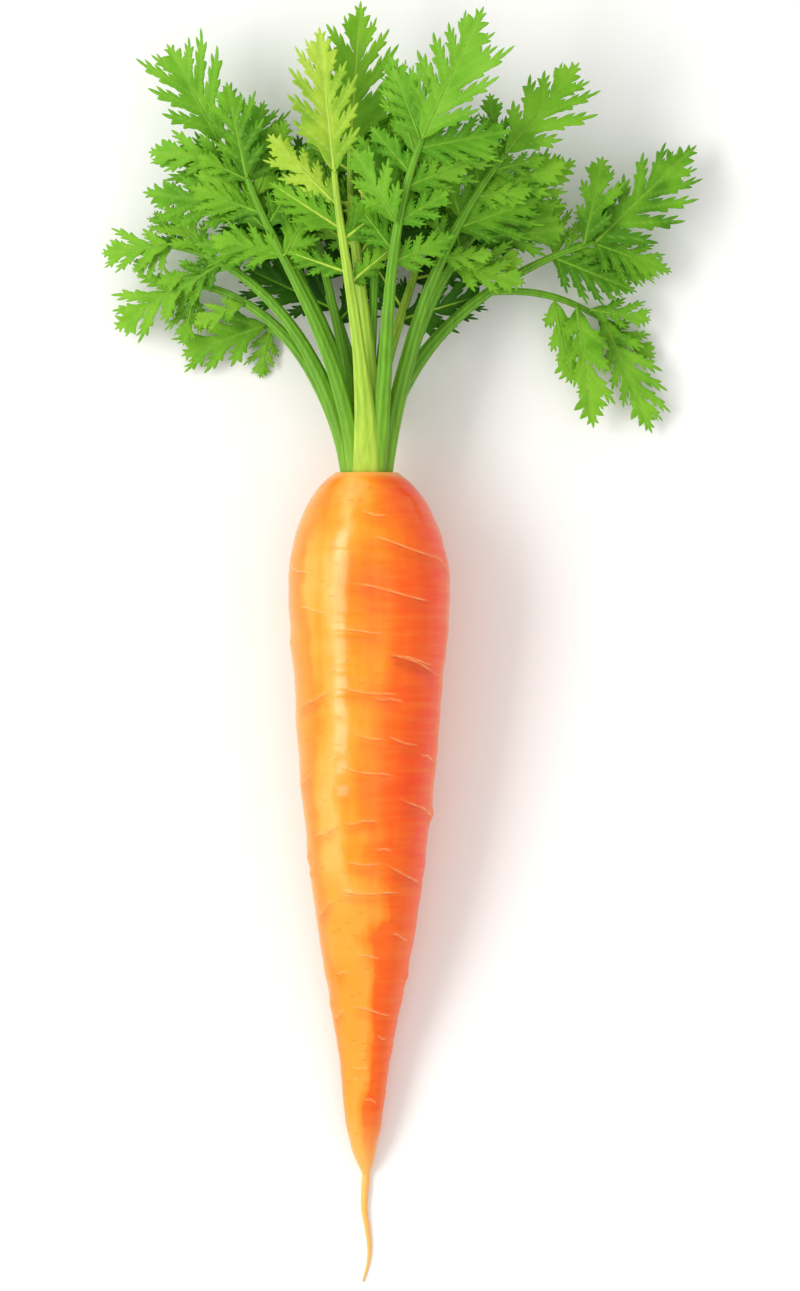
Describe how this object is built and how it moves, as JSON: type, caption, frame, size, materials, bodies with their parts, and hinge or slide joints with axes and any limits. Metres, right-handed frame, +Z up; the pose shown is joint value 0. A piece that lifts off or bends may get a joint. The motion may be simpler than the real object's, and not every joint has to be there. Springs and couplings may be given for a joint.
{
  "type": "carrot",
  "caption": "Whole fresh carrot with its leafy top, lying on its side: tapered ringed root with a thread tail, and a fan of stalks with cut leaflets.",
  "frame": {"origin": "on the surface that the carrot lies on, under the middle of its bounding box", "axes": "+Y along the root from its tail towards the leaves, +X to the right seen from above, +Z up, away from the surface"},
  "size_m": [0.1506, 0.3226, 0.0457],
  "materials": {
    "root_skin": "smooth moist carrot skin, satin, with fine cross rings",
    "stalk_skin": "ribbed fresh green stalk, satin",
    "blade_mid_green": "thin veined leaf, matt",
    "blade_light_green": "thin veined leaf, matt",
    "blade_yellow_green": "thin veined young leaf, matt",
    "blade_deep_green": "thin veined leaf in the shade of the others, matt"
  },
  "bodies": {
    "root": {"centre_leaflet_1": "blade_mid_green", "centre_leaflet_2": "blade_mid_green", "centre_leaflet_3": "blade_mid_green", "centre_left_leaflet_1": "blade_yellow_green", "centre_left_leaflet_2": "blade_yellow_green", "centre_left_leaflet_3": "blade_yellow_green", "centre_left_stalk": "stalk_skin", "centre_right_leaflet_1": "blade_light_green", "centre_right_leaflet_2": "blade_light_green", "centre_right_leaflet_3": "blade_light_green", "centre_right_leaflet_4": "blade_light_green", "centre_right_stalk": "stalk_skin", "centre_stalk": "stalk_skin", "left_high_leaflet_1": "blade_light_green", "left_high_leaflet_2": "blade_light_green", "left_high_leaflet_3": "blade_light_green", "left_high_leaflet_4": "blade_light_green", "left_high_stalk": "stalk_skin", "left_inner_leaflet_1": "blade_mid_green", "left_inner_leaflet_2": "blade_mid_green", "left_inner_leaflet_3": "blade_mid_green", "left_inner_leaflet_4": "blade_mid_green", "left_inner_stalk": "stalk_skin", "left_low_leaflet_1": "blade_mid_green", "left_low_leaflet_2": "blade_mid_green", "left_low_stalk": "stalk_skin", "left_lower_leaflet_1": "blade_mid_green", "left_lower_leaflet_2": "blade_mid_green", "left_lower_leaflet_3": "blade_mid_green", "left_lower_stalk": "stalk_skin", "left_middle_leaflet_1": "blade_mid_green", "left_middle_leaflet_2": "blade_mid_green", "left_middle_leaflet_3": "blade_mid_green", "left_middle_stalk": "stalk_skin", "right_far_branch_leaflet_1": "blade_mid_green", "right_far_branch_leaflet_2": "blade_mid_green", "right_far_branch_leaflet_3": "blade_mid_green", "right_far_branch_leaflet_4": "blade_mid_green", "right_far_branch_leaflet_5": "blade_mid_green", "right_far_branch_stalk": "stalk_skin", "right_far_leaflet_1": "blade_mid_green", "right_far_leaflet_2": "blade_mid_green", "right_far_leaflet_3": "blade_mid_green", "right_far_leaflet_4": "blade_mid_green", "right_far_stalk": "stalk_skin", "right_high_leaflet_1": "blade_mid_green", "right_high_leaflet_2": "blade_mid_green", "right_high_leaflet_3": "blade_mid_green", "right_high_stalk": "stalk_skin", "right_middle_leaflet_1": "blade_mid_green", "right_middle_leaflet_2": "blade_mid_green", "right_middle_leaflet_3": "blade_mid_green", "right_middle_stalk": "stalk_skin", "root": "root_skin", "under_left_leaflet_1": "blade_deep_green", "under_left_leaflet_2": "blade_deep_green", "under_left_stalk": "stalk_skin", "under_right_leaflet_1": "blade_deep_green", "under_right_leaflet_2": "blade_deep_green", "under_right_stalk": "stalk_skin"}
  },
  "joints": []
}
